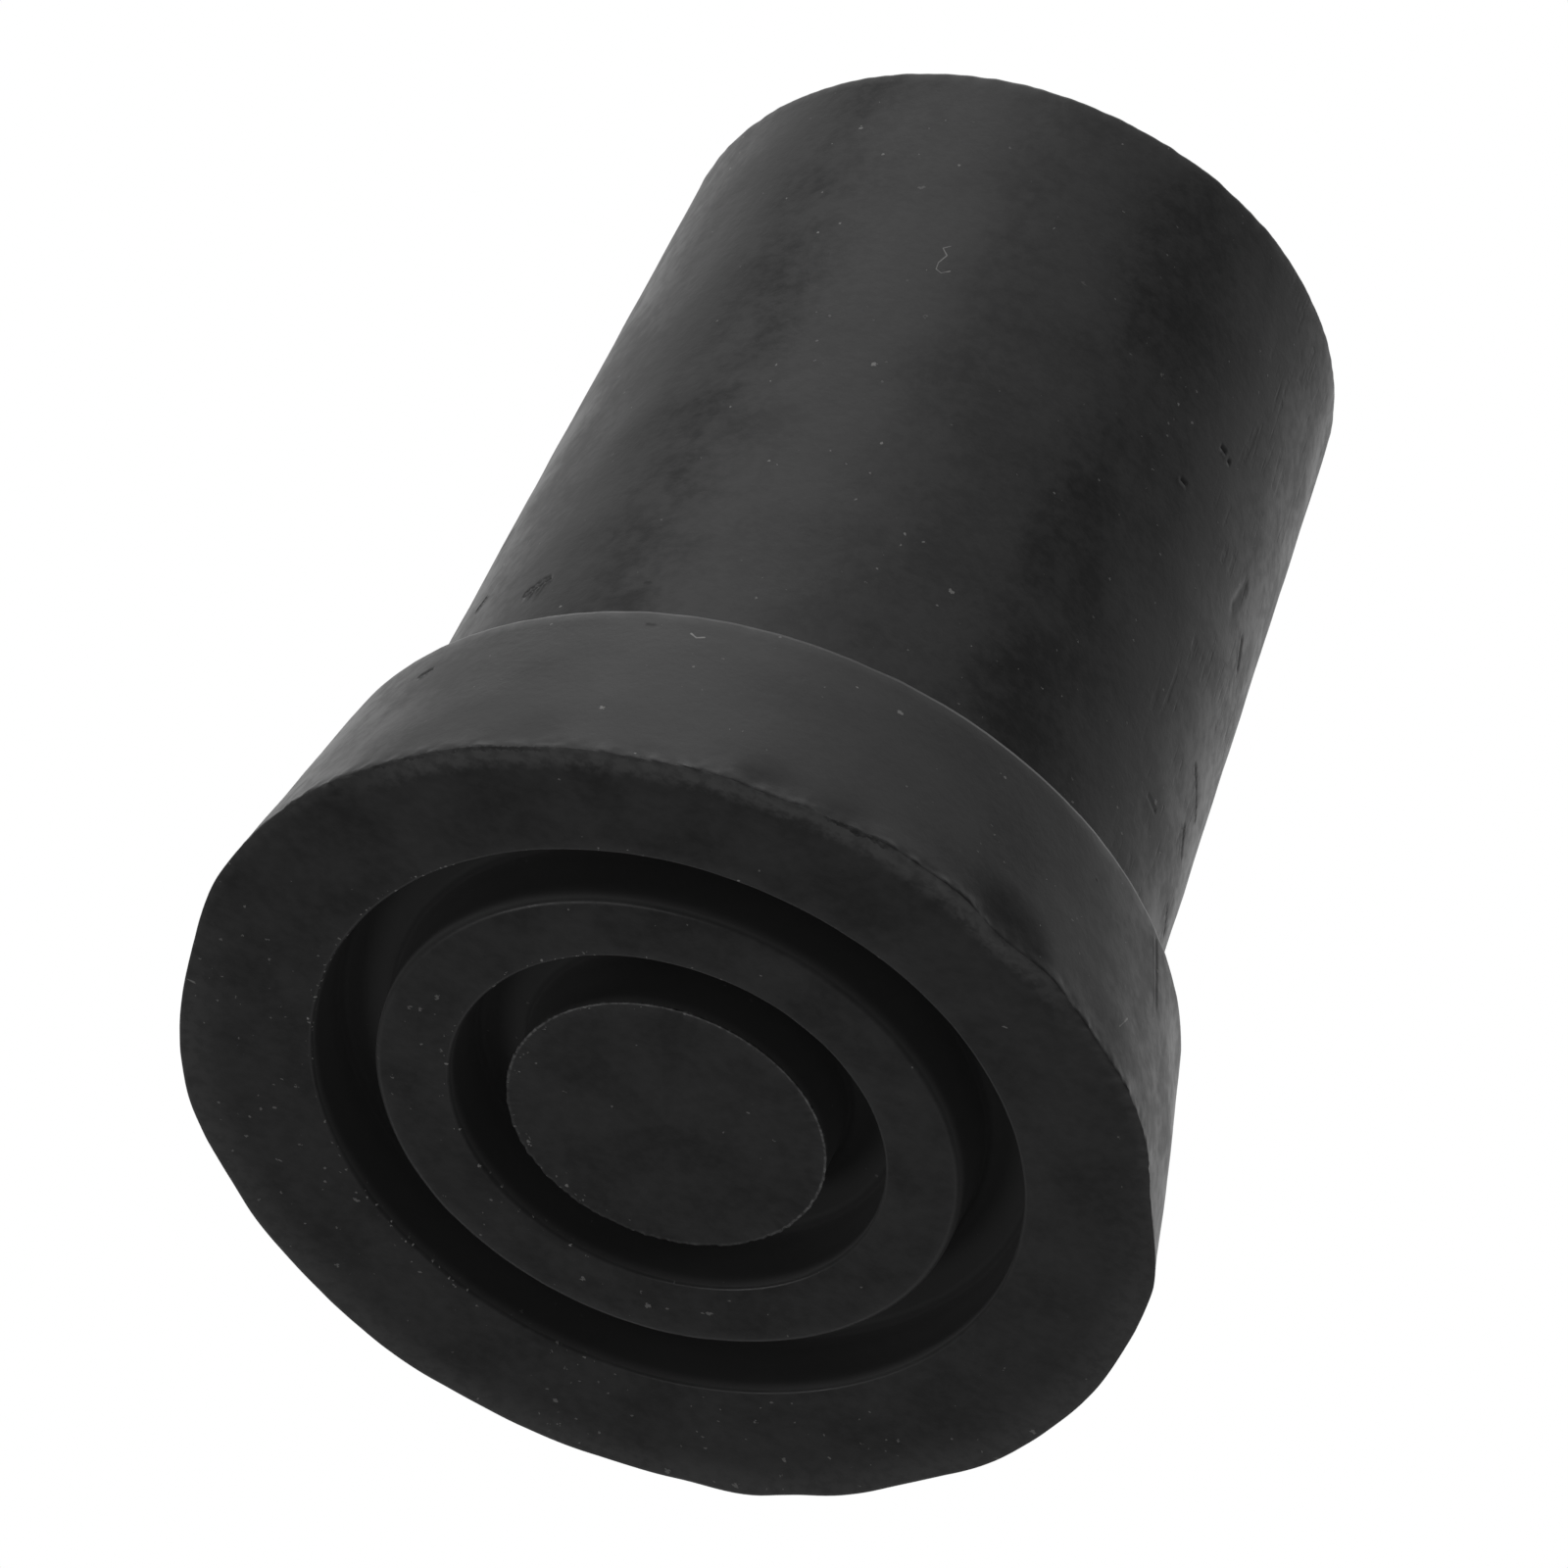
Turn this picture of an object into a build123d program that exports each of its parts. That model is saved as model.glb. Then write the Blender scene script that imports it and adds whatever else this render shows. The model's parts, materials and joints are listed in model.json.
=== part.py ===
from build123d import *
import math
import os

# Rubber tip for the floor end of an instrument's endpin rod, moulded as one piece of rubber.
# Lengths are in millimetres and angles in degrees. +Z runs from the floor face to the mouth,
# and the origin is the centre of the floor face, so the tip stands on the plane Z = 0.

# Heights
overall_height = 37.5
foot_height = 8.0
sole_thickness = 10.5       # solid rubber between the floor face and the end of the socket

# Radial build-up, from the rod outwards
rod_diameter = 10.0
rod_grip = 0.4              # how much narrower than the rod the socket is, so that it stays on
mouth_wall = 6.2            # rubber round the socket at the mouth
shank_flare = 1.7           # how much the shank's radius grows from the mouth to the foot
ledge_width = 1.65          # flat step on top of the foot
skirt_flare = 1.65          # how much the foot's radius grows from the ledge to the floor

# Tread: two ring grooves in the floor face, from its outside inwards
rim_width = 4.4             # flat outer land, which ends in the sharp edge that trimming leaves
outer_groove_width = 2.05
ring_width = 2.45           # flat ring between the grooves
inner_groove_width = 2.0
groove_depth = 2.5
groove_draft = 3.0          # lean of each groove wall, which lets the mould go

# Edges and corners
shank_root_fillet = 0.5     # hollow corner between the ledge and the shank
ring_edge_radius = 0.3      # outer edge of the tread's ring, which the rim doesn't shield
ledge_edge_chamfer = 0.15
mouth_edge_chamfer = 0.25
socket_lead_in = 0.8
socket_end_chamfer = 0.8
groove_root_chamfer = 0.3

bore_radius = (rod_diameter - rod_grip) / 2
mouth_radius = bore_radius + mouth_wall
shank_root_radius = mouth_radius + shank_flare
foot_top_radius = shank_root_radius + ledge_width
foot_radius = foot_top_radius + skirt_flare
outer_groove_radius = foot_radius - rim_width
ring_radius = outer_groove_radius - outer_groove_width
inner_groove_radius = ring_radius - ring_width


def turned(outline):
    """Solid of revolution about Z from an area drawn in X (radius) and Z (height)."""
    return revolve(Plane.XZ * outline, Axis.Z)


def corner(outline, radius, height):
    """The corner of an outline that lies at the given radius and height."""
    return outline.vertices().sort_by_distance(Vector(radius, height, 0))[0]


def blank():
    """Foot and shank as one solid, before the socket and the tread are formed."""
    outline = make_face(
        Polyline(
            (0, 0),
            (foot_radius, 0),
            (foot_top_radius, foot_height),
            (shank_root_radius, foot_height),
            (mouth_radius, overall_height),
            (0, overall_height),
            close=True,
        )
    )
    outline = fillet(corner(outline, shank_root_radius, foot_height), shank_root_fillet)
    outline = chamfer(corner(outline, foot_top_radius, foot_height), ledge_edge_chamfer)
    outline = chamfer(corner(outline, mouth_radius, overall_height), mouth_edge_chamfer)
    return turned(outline)


def socket():
    """Space for the rod: open at the mouth, with a lead-in, and blind below."""
    outline = make_face(
        Polyline(
            (0, sole_thickness),
            (bore_radius, sole_thickness),
            (bore_radius, overall_height - socket_lead_in),
            (bore_radius + socket_lead_in, overall_height),
            (0, overall_height),
            close=True,
        )
    )
    outline = chamfer(corner(outline, bore_radius, sole_thickness), socket_end_chamfer)
    return turned(outline)


def groove(outer_radius, width):
    """Space of one ring groove: drafted walls and a flat floor with broken corners."""
    inner_radius = outer_radius - width
    lean = groove_depth * math.tan(math.radians(groove_draft))
    outline = make_face(
        Polyline(
            (inner_radius, 0),
            (outer_radius, 0),
            (outer_radius - lean, groove_depth),
            (inner_radius + lean, groove_depth),
            close=True,
        )
    )
    roots = [
        corner(outline, outer_radius - lean, groove_depth),
        corner(outline, inner_radius + lean, groove_depth),
    ]
    return turned(chamfer(roots, groove_root_chamfer))


def rubber_tip():
    """The whole tip: the blank less its socket and the two grooves of its tread."""
    tread = [
        groove(outer_groove_radius, outer_groove_width),
        groove(inner_groove_radius, inner_groove_width),
    ]
    tip = blank() - socket() - tread
    floor_edges = tip.edges().group_by(Axis.Z)[0].filter_by(GeomType.CIRCLE)
    ring_edge = min(floor_edges, key=lambda edge: abs(edge.radius - ring_radius))
    return fillet(ring_edge, ring_edge_radius)


os.makedirs("parts", exist_ok=True)
export_step(rubber_tip(), "parts/rubber_tip.step")
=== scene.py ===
import json
import math

import bmesh
import bpy
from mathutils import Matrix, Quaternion, Vector
from mathutils.geometry import intersect_point_line
from mathutils.kdtree import KDTree


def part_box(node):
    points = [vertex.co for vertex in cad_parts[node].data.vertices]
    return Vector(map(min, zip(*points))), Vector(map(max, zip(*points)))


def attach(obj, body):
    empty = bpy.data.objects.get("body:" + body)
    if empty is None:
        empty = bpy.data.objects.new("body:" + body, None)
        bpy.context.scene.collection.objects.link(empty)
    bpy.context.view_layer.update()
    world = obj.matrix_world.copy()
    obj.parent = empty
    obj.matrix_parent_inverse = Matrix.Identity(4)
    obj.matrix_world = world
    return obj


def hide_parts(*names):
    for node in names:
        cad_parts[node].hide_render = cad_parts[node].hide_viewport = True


# Rubber tip for the floor end of an instrument's endpin rod. The part's sizes are in
# millimetres and are turned into metres by MM; the lamps' and the floor's are in metres.
# +Z runs from the floor face to the mouth of the socket.
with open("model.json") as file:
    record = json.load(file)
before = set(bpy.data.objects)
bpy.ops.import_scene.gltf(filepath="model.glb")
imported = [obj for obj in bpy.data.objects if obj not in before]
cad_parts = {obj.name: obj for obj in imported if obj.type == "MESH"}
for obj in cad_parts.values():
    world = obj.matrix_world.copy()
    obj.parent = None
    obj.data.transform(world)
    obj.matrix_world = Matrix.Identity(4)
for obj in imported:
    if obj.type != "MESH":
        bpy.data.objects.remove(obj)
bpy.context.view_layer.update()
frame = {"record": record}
low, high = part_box("rubber_tip")
socket_mount = next(m for m in frame["record"]["mounts"] if m["name"] == "rod_socket")
MM = 0.001

# Main sizes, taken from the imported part
FOOT_RADIUS = (high.x - low.x) / 2 / MM
HEIGHT = high.z / MM
BORE_RADIUS = socket_mount["dims"]["r_mm"]

# Radii and heights of the section, from the rod outwards
MOUTH_RADIUS = 11.0
SHANK_ROOT_RADIUS = 12.7
FOOT_TOP_RADIUS = 14.35
FOOT_HEIGHT = 8.0
SOLE_THICKNESS = 10.5
OUTER_GROOVE_RADIUS = 11.6
RING_RADIUS = 9.55
INNER_GROOVE_RADIUS = 7.1
DISC_RADIUS = 5.1
GROOVE_DEPTH = 2.5
GROOVE_LEAN = GROOVE_DEPTH * math.tan(math.radians(3.0))

# Broken corners of the section, and the thin flash that stands out round the disc
GROOVE_ROOT_RADIUS = 0.3
RING_EDGE_RADIUS = 0.22
LIP_RADIUS = 0.05
GROOVE_LIP_RADIUS = 0.13
FLASH_START = 0.12          # how far inside the disc's edge the flash begins
FLASH_REACH = 0.11          # how far it stands out past the edge
FLASH_RISE = 0.035
FLASH_THICKNESS = 0.08
LEDGE_EDGE_RADIUS = 0.14
SHANK_ROOT_FILLET = 0.5
MOUTH_EDGE_RADIUS = 0.22
SOCKET_CHAMFER = 0.8

# The rim's outer edge is worn: the floor face rises a little towards it
WORN_RADIUS = 15.2
WORN_RISE = 0.02
WORN_CORNER_RADIUS = 0.3
TRIM_OVERSIZE = 0.02

# Fineness of the mesh
TURN_STEPS = 360
COARSE_CELL = 3.0
SHANK_CELL = 0.75
FINE_CELL = 0.5
EDGE_CELL = 0.13
EDGE_REACH = 0.9            # how far the edge's cells and waves reach from the foot's edge
CRUMBLE_REACH = 0.6
MOUTH_REACH = 0.6
FLASH_ZONE_REACH = 0.3
SCAR_REACH = 0.6
SCAR_CORE_REACH = 0.3
SHANK_END = 1.0             # how far the fine cells reach along the shank from its ends
SLACK = 0.1
SAME_PLACE = 0.001          # points nearer than this are taken as one
MERGE_DISTANCE = 0.0005
MOST_CUTS = 80
CELL_ROUNDING = 0.01        # an edge may be longer than its cell by this share
SMALL_CORNER = 0.1          # corners below this radius get fewer segments
SHARP_ANGLE = 35            # edges that bend more than this many degrees stay sharp


def edit(piece):
    """Only this piece is active and in edit mode, with nothing of it selected."""
    bpy.ops.object.select_all(action="DESELECT")
    piece.select_set(True)
    bpy.context.view_layer.objects.active = piece
    bpy.ops.object.mode_set(mode="EDIT")
    bpy.ops.mesh.select_all(action="DESELECT")


def select_vertices(piece, wanted):
    """In edit mode, the vertices whose place in millimetres is wanted become the selection."""
    bpy.ops.mesh.select_mode(type="VERT")
    mesh = bmesh.from_edit_mesh(piece.data)
    for vertex in mesh.verts:
        vertex.select_set(bool(wanted(vertex.co / MM)))
    mesh.select_flush_mode()
    bmesh.update_edit_mesh(piece.data)


def select_edges(piece, wanted):
    """In edit mode, the edges with wanted ends and length in millimetres become the selection."""
    bpy.ops.mesh.select_mode(type="EDGE")
    mesh = bmesh.from_edit_mesh(piece.data)
    found = 0
    for edge in mesh.edges:
        a, b = (vertex.co / MM for vertex in edge.verts)
        chosen = bool(wanted(a, b, edge.calc_length() / MM))
        edge.select_set(chosen)
        found += chosen
    bmesh.update_edit_mesh(piece.data)
    return found


def object_mode():
    """The active piece leaves edit mode."""
    bpy.ops.object.mode_set(mode="OBJECT")


def round_about(angle, radius, height):
    """The point in millimetres at an angle in degrees about Z, a radius and a height."""
    turn = math.radians(angle)
    return Vector((radius * math.cos(turn), radius * math.sin(turn), height))


# ---------------------------------------------------------------- the rubber body

# The half-section as (radius, height, corner radius), from the centre of the floor face
# outwards, up the outside, over the mouth and down the socket to the axis again.
SECTION = [
    (0.0, 0.0, 0),
    (DISC_RADIUS - FLASH_START, 0.0, 0),
    (DISC_RADIUS + FLASH_REACH, -FLASH_RISE, 0),
    (DISC_RADIUS + FLASH_REACH, 0.0, 0),
    (DISC_RADIUS, FLASH_THICKNESS, 0),
    (DISC_RADIUS + GROOVE_LEAN, GROOVE_DEPTH, GROOVE_ROOT_RADIUS),
    (INNER_GROOVE_RADIUS - GROOVE_LEAN, GROOVE_DEPTH, GROOVE_ROOT_RADIUS),
    (INNER_GROOVE_RADIUS, 0.0, GROOVE_LIP_RADIUS),
    (RING_RADIUS, 0.0, RING_EDGE_RADIUS),
    (RING_RADIUS + GROOVE_LEAN, GROOVE_DEPTH, GROOVE_ROOT_RADIUS),
    (OUTER_GROOVE_RADIUS - GROOVE_LEAN, GROOVE_DEPTH, GROOVE_ROOT_RADIUS),
    (OUTER_GROOVE_RADIUS, 0.0, GROOVE_LIP_RADIUS),
    (WORN_RADIUS, 0.0, WORN_CORNER_RADIUS),
    (FOOT_RADIUS + TRIM_OVERSIZE, WORN_RISE, LIP_RADIUS),
    (FOOT_TOP_RADIUS, FOOT_HEIGHT, LEDGE_EDGE_RADIUS),
    (SHANK_ROOT_RADIUS, FOOT_HEIGHT, SHANK_ROOT_FILLET),
    (MOUTH_RADIUS, HEIGHT, MOUTH_EDGE_RADIUS),
    (BORE_RADIUS + SOCKET_CHAMFER, HEIGHT, LIP_RADIUS),
    (BORE_RADIUS, HEIGHT - SOCKET_CHAMFER, 0),
    (BORE_RADIUS, SOLE_THICKNESS + SOCKET_CHAMFER, 0),
    (BORE_RADIUS - SOCKET_CHAMFER, SOLE_THICKNESS, 0),
    (0.0, SOLE_THICKNESS, 0),
]
FOOT_EDGE = Vector((FOOT_RADIUS, 0, 0))


def cell_at(point):
    """How long the section's edges may be at a point of it."""
    if (point - FOOT_EDGE).length < EDGE_REACH:
        return EDGE_CELL
    if point.z > SOLE_THICKNESS - SLACK and point.x < BORE_RADIUS + SOCKET_CHAMFER - SLACK:
        return COARSE_CELL
    if FOOT_HEIGHT + SHANK_END < point.z < HEIGHT - SHANK_END:
        return SHANK_CELL
    return FINE_CELL


def cuts_for(a, b, length):
    """How many cuts part an edge of the section into cells that are short enough."""
    return math.ceil(length / cell_at((a + b) / 2) - CELL_ROUNDING) - 1


def turned_body(name):
    """The half-section, drawn corner by corner from one point, rounded and turned about Z."""
    bpy.ops.object.select_all(action="DESELECT")
    bpy.ops.mesh.primitive_plane_add(size=MM, location=(0, 0, 0))
    body = bpy.context.object
    body.name = name
    edit(body)
    bpy.ops.mesh.select_all(action="SELECT")
    bpy.ops.mesh.merge(type="CENTER")
    for (radius, height, _), (next_radius, next_height, _) in zip(SECTION, SECTION[1:]):
        step = ((next_radius - radius) * MM, 0, (next_height - height) * MM)
        bpy.ops.mesh.extrude_region_move(TRANSFORM_OT_translate={"value": step})
    for radius, height, corner in SECTION:
        if corner:
            here = Vector((radius, 0, height))
            small = corner < SMALL_CORNER
            select_vertices(body, lambda point: (point - here).length < SAME_PLACE)
            bpy.ops.mesh.bevel(
                offset=corner * MM,
                segments=2 if small else 4,
                affect="VERTICES",
                offset_type="WIDTH" if small else "OFFSET",
            )
    for _ in range(2):          # the first pass parts long edges, the second the fine zones
        for cuts in range(1, MOST_CUTS):
            if select_edges(body, lambda a, b, length: cuts_for(a, b, length) == cuts):
                bpy.ops.mesh.subdivide(number_cuts=cuts)
    object_mode()
    bpy.ops.object.modifier_add(type="SCREW")
    turn = body.modifiers["Screw"]
    turn.axis = "Z"
    turn.angle = math.tau
    turn.steps = turn.render_steps = TURN_STEPS
    turn.use_merge_vertices = True
    turn.merge_threshold = MERGE_DISTANCE * MM
    bpy.ops.object.modifier_apply(modifier="Screw")
    edit(body)
    bpy.ops.mesh.select_all(action="SELECT")
    bpy.ops.mesh.remove_doubles(threshold=MERGE_DISTANCE * MM)
    bpy.ops.mesh.normals_make_consistent(inside=False)
    object_mode()
    return body


def zone(piece, name, weight):
    """A new vertex group holds weight(place in millimetres) where it is above 0; its name."""
    group = piece.vertex_groups.new(name=name)
    for vertex in piece.data.vertices:
        amount = weight(vertex.co / MM)
        if amount > 0:
            group.add([vertex.index], min(amount, 1), "REPLACE")
    return name


def roughen(piece, name, grain, octaves, height, within):
    """The skin in a zone is moved along its normals by a cloud of bumps; sizes in millimetres."""
    texture = bpy.data.textures.new(name, "CLOUDS")
    texture.noise_scale = grain * MM
    texture.noise_depth = octaves
    bpy.context.view_layer.objects.active = piece
    bpy.ops.object.modifier_add(type="DISPLACE")
    move = piece.modifiers[-1]
    move.texture = texture
    move.texture_coords = "LOCAL"
    move.strength = height * MM
    move.mid_level = 0.5
    move.vertex_group = within
    bpy.ops.object.modifier_apply(modifier=move.name)


def part_round(piece, wanted, cuts):
    """Edges that run round the axis at a wanted place, in millimetres, are parted."""
    edit(piece)
    select_edges(
        piece,
        lambda a, b, _: abs(a.z - b.z) < SAME_PLACE
        and abs(a.xy.length - b.xy.length) < SAME_PLACE
        and wanted((a + b) / 2),
    )
    bpy.ops.mesh.subdivide(number_cuts=cuts)
    object_mode()


def off_line(point, start, end):
    """How far a point lies from a line between two places."""
    share = intersect_point_line(point, start, end)[1]
    return (point - start.lerp(end, min(max(share, 0), 1))).length


LINE_LOOK = 2.0             # how far past the reach from a line's start its faces are looked for


def refine(piece, lines, reach, cuts):
    """Faces within reach of any of the lines are parted, all in millimetres."""
    edit(piece)
    bpy.ops.mesh.select_mode(type="FACE")
    mesh = bmesh.from_edit_mesh(piece.data)
    for face in mesh.faces:
        place = face.calc_center_median() / MM
        for start, end in lines:
            near = (place - start).length < reach + LINE_LOOK
            if near and off_line(place, start, end) < reach:
                face.select_set(True)
                break
    bmesh.update_edit_mesh(piece.data)
    bpy.ops.mesh.subdivide(number_cuts=cuts)
    object_mode()


def push_skin(piece, numbers, move, reach):
    """Vertices are moved by their numbers, and the skin within reach follows, in millimetres."""
    bpy.ops.mesh.select_mode(type="VERT")
    bpy.ops.mesh.select_all(action="DESELECT")
    mesh = bmesh.from_edit_mesh(piece.data)
    mesh.verts.ensure_lookup_table()
    for number in numbers:
        mesh.verts[number].select_set(True)
    mesh.select_flush_mode()
    bmesh.update_edit_mesh(piece.data)
    bpy.ops.transform.translate(
        value=move * MM,
        use_proportional_edit=True,
        proportional_edit_falloff="SMOOTH",
        proportional_size=reach * MM,
    )


# The low lip that a cut raises beside it, as shares of the cut's depth and width
SCAR_LIP_RISE = 0.3
SCAR_LIP_WIDTH = 0.8


def scar(piece, finder, line, width, depth):
    """A narrow cut is pressed into the skin along a line, with a low lip on its lower side."""
    start, end = line
    centre = (start + end) / 2
    inward = -Vector((*centre.xy, 0)).normalized()
    below = inward.cross(end - start).normalized() * width
    look = ((end - start).length / 2 + width) * MM
    cut = (Vector(), depth, width)
    lip = (below, -SCAR_LIP_RISE * depth, SCAR_LIP_WIDTH * width)
    for shift, push, reach in (cut, lip):
        mesh = bmesh.from_edit_mesh(piece.data)
        mesh.verts.ensure_lookup_table()
        core = [
            number
            for _, number, _ in finder.find_range((centre + shift) * MM, look)
            if off_line(mesh.verts[number].co / MM, start + shift, end + shift) < width / 3
        ]
        push_skin(piece, core, inward * push, reach)


def on_shank(angle, height):
    """The point of the shank's outside at an angle and a height."""
    share = (height - FOOT_HEIGHT) / (HEIGHT - FOOT_HEIGHT)
    radius = SHANK_ROOT_RADIUS + (MOUTH_RADIUS - SHANK_ROOT_RADIUS) * share
    return round_about(angle, radius, height)


def on_foot(angle, height):
    """The point of the foot's outside at an angle and a height."""
    radius = FOOT_RADIUS + (FOOT_TOP_RADIUS - FOOT_RADIUS) * height / FOOT_HEIGHT
    return round_about(angle, radius, height)


def on_face(angle, radius):
    """The point of the floor face at an angle and a radius."""
    return round_about(angle, radius, 0)


# Cuts and nicks left by handling: (surface, first end, other end, width, depth), where an end is
# the angle and the height
SCARS = [
    (on_shank, (211.9, 12.2), (215.2, 12.6), 0.17, 0.13),
    (on_shank, (196.3, 13.5), (197.8, 13.95), 0.12, 0.08),
    (on_shank, (188.8, 17.9), (190.4, 18.5), 0.12, 0.07),
    (on_shank, (311.3, 28.1), (314.4, 27.95), 0.10, 0.05),
    (on_shank, (304.9, 25.3), (306.9, 25.25), 0.14, 0.04),
    (on_shank, (322.3, 13.95), (325.3, 13.9), 0.12, 0.03),
    (on_shank, (333.3, 17.85), (341.3, 17.15), 0.14, 0.035),
    (on_shank, (336.9, 15.85), (340.1, 15.25), 0.18, 0.035),
    (on_shank, (341.2, 13.2), (344.9, 12.85), 0.18, 0.035),
    (on_shank, (328.3, 24.2), (330.4, 25.6), 0.30, 0.03),
    (on_shank, (335.4, 24.2), (337.6, 23.4), 0.20, 0.035),
    (on_foot, (211.8, 6.1), (213.2, 6.25), 0.13, 0.09),
    (on_foot, (324.2, 7.5), (327.1, 5.3), 0.16, 0.025),
]
scar_lines = [(surface(*start), surface(*end)) for surface, start, end, _, _ in SCARS]


# The side where the foot's edge was trimmed roughly: its first and last angle, and how many
# degrees it takes to fade out past them. The other side is uneven by a share of that.
TRIMMED_START = 200
TRIMMED_END = 335
TRIMMED_FADE = 8
UNTRIMMED_SHARE = 0.4


def on_trimmed_side(point):
    """How much a point lies on the side where the foot's edge was trimmed."""
    angle = math.degrees(math.atan2(point.y, point.x)) % 360
    return min(max(min(angle - TRIMMED_START, TRIMMED_END - angle) / TRIMMED_FADE + 1, 0), 1)


def off_circle(point, radius, height):
    """How far a point lies from a circle about Z, in millimetres."""
    return math.hypot(point.xy.length - radius, point.z - height)


def fades_from(radius, height, reach):
    """A weight that is full on a circle about Z and fades out over a reach, in millimetres."""
    return lambda point: 1 - off_circle(point, radius, height) / reach


def wavy_edge(point):
    """The weight of the waves along the foot's edge."""
    share = UNTRIMMED_SHARE + (1 - UNTRIMMED_SHARE) * on_trimmed_side(point)
    return fades_from(FOOT_RADIUS, 0, EDGE_REACH)(point) * share


def crumbled_edge(point):
    """The weight of the crumbs along the foot's trimmed edge."""
    return fades_from(FOOT_RADIUS, 0, CRUMBLE_REACH)(point) * on_trimmed_side(point)


rubber_body = turned_body("rubber_body")
part_round(
    rubber_body,
    lambda p: off_circle(p, FOOT_RADIUS, 0) < EDGE_REACH and on_trimmed_side(p) > 0,
    2,
)
part_round(rubber_body, lambda p: off_circle(p, DISC_RADIUS, 0) < FLASH_ZONE_REACH, 1)
part_round(rubber_body, lambda p: off_circle(p, MOUTH_RADIUS, HEIGHT) < MOUTH_REACH, 1)
refine(rubber_body, scar_lines, SCAR_REACH, 2)
refine(rubber_body, scar_lines, SCAR_CORE_REACH, 1)

# the material is laid out on the shape as it was moulded, in millimetres
moulded = rubber_body.data.attributes.new("moulded_place", "FLOAT_VECTOR", "POINT")
for vertex in rubber_body.data.vertices:
    moulded.data[vertex.index].vector = vertex.co / MM

# How the skin is uneven: (name, grain, octaves, height, weight at a place, or None all over)
UNEVENNESS = [
    ("skin_wave", 3.2, 2, 0.07, None),
    ("edge_wave", 2.2, 2, 0.12, wavy_edge),
    ("edge_crumble", 0.5, 3, 0.16, crumbled_edge),
    ("flash_ragged", 0.25, 2, 0.14, fades_from(DISC_RADIUS + FLASH_REACH, 0, 0.16)),
    ("ledge_ragged", 0.8, 1, 0.03, fades_from(FOOT_TOP_RADIUS, FOOT_HEIGHT, 0.4)),
    ("mouth_burr", 0.6, 1, 0.07, fades_from(MOUTH_RADIUS, HEIGHT, MOUTH_REACH)),
]
zones = [zone(rubber_body, name, weight) if weight else "" for name, _, _, _, weight in UNEVENNESS]
for (name, grain, octaves, height, _), within in zip(UNEVENNESS, zones):
    roughen(rubber_body, name, grain, octaves, height, within)

# Where trimming left the foot's edge out of round: (angle, outward move, reach)
FOOT_OUT_OF_ROUND = [
    (75, 0.10, 9.0),
    (255, -0.09, 9.0),
    (5, -0.06, 4.0),
    (32, 0.13, 3.6),
    (54, 0.20, 3.4),
    (65, 0.27, 2.2),
    (108, 0.14, 3.4),
    (150, 0.12, 4.0),
    (174, -0.20, 4.6),
    (208, 0.05, 3.4),
    (237, -0.09, 2.2),
    (250, -0.08, 3.6),
    (266, -0.14, 1.8),
    (275, -0.08, 1.6),
    (280, 0.06, 1.6),
    (297, -0.29, 2.2),
    (313, -0.10, 2.6),
    (340, -0.29, 4.0),
]
vertex_finder = KDTree(len(rubber_body.data.vertices))
for vertex in rubber_body.data.vertices:
    vertex_finder.insert(vertex.co, vertex.index)
vertex_finder.balance()
edit(rubber_body)
for angle, outward, reach in FOOT_OUT_OF_ROUND:
    edge = round_about(angle, FOOT_RADIUS, 0)
    nearest = vertex_finder.find(edge * MM)[1]
    push_skin(rubber_body, [nearest], edge.normalized() * outward, reach)
for line, (_, _, _, width, depth) in zip(scar_lines, SCARS):
    scar(rubber_body, vertex_finder, line, width, depth)
object_mode()
bpy.ops.object.shade_smooth_by_angle(angle=math.radians(SHARP_ANGLE))

# ---------------------------------------------------------------- material tools


def add(tree, kind, settings=None, inputs=None):
    """A node of a kind with its settings, and with its inputs joined to sockets or set."""
    node = tree.nodes.new("ShaderNode" + kind)
    for name, value in (settings or {}).items():
        setattr(node, name, value)
    for key, value in (inputs or {}).items():
        if isinstance(value, bpy.types.NodeSocket):
            tree.links.new(value, node.inputs[key])
        else:
            node.inputs[key].default_value = value
    return node


def maths(tree, operation, *values, clamp=False):
    """The result of one sum on sockets or numbers."""
    node = add(tree, "Math", {"operation": operation, "use_clamp": clamp}, dict(enumerate(values)))
    return node.outputs[0]


def vector_maths(tree, operation, *values, **scale):
    """The result of one sum on vectors: a number for a product or a length, or else a vector."""
    node = add(tree, "VectorMath", {"operation": operation}, {**dict(enumerate(values)), **scale})
    return node.outputs["Value" if operation in ("DOT_PRODUCT", "LENGTH") else "Vector"]


def noise(tree, place, scale, detail, roughness=0.5):
    """The outputs of a cloudy noise, at a scale in clouds to the millimetre."""
    inputs = {"Vector": place, "Scale": scale, "Detail": detail, "Roughness": roughness}
    return add(tree, "TexNoise", {}, inputs).outputs


def ramp(tree, value, start, end, low=0.0, high=1.0):
    """A smooth step of a value, from low at start to high at end."""
    node = add(
        tree,
        "MapRange",
        {"interpolation_type": "SMOOTHSTEP"},
        {"Value": value, "From Min": start, "From Max": end, "To Min": low, "To Max": high},
    )
    return node.outputs["Result"]


def group(name, inputs, outputs):
    """An empty node group with its input sockets and output names."""
    tree = bpy.data.node_groups.new(name, "ShaderNodeTree")
    for label, kind, value in inputs:
        socket = tree.interface.new_socket(name=label, in_out="INPUT", socket_type=kind)
        if value is not None:
            socket.default_value = value
    for label in outputs:
        tree.interface.new_socket(name=label, in_out="OUTPUT", socket_type="NodeSocketFloat")
    given, result = tree.nodes.new("NodeGroupInput"), tree.nodes.new("NodeGroupOutput")
    return tree, given.outputs, result.inputs


def use(tree, made, inputs):
    """The outputs of a node group that is placed in a material with its own values."""
    return add(tree, "Group", {"node_tree": made}, inputs).outputs


FLOAT, VECTOR = "NodeSocketFloat", "NodeSocketVector"


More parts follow.
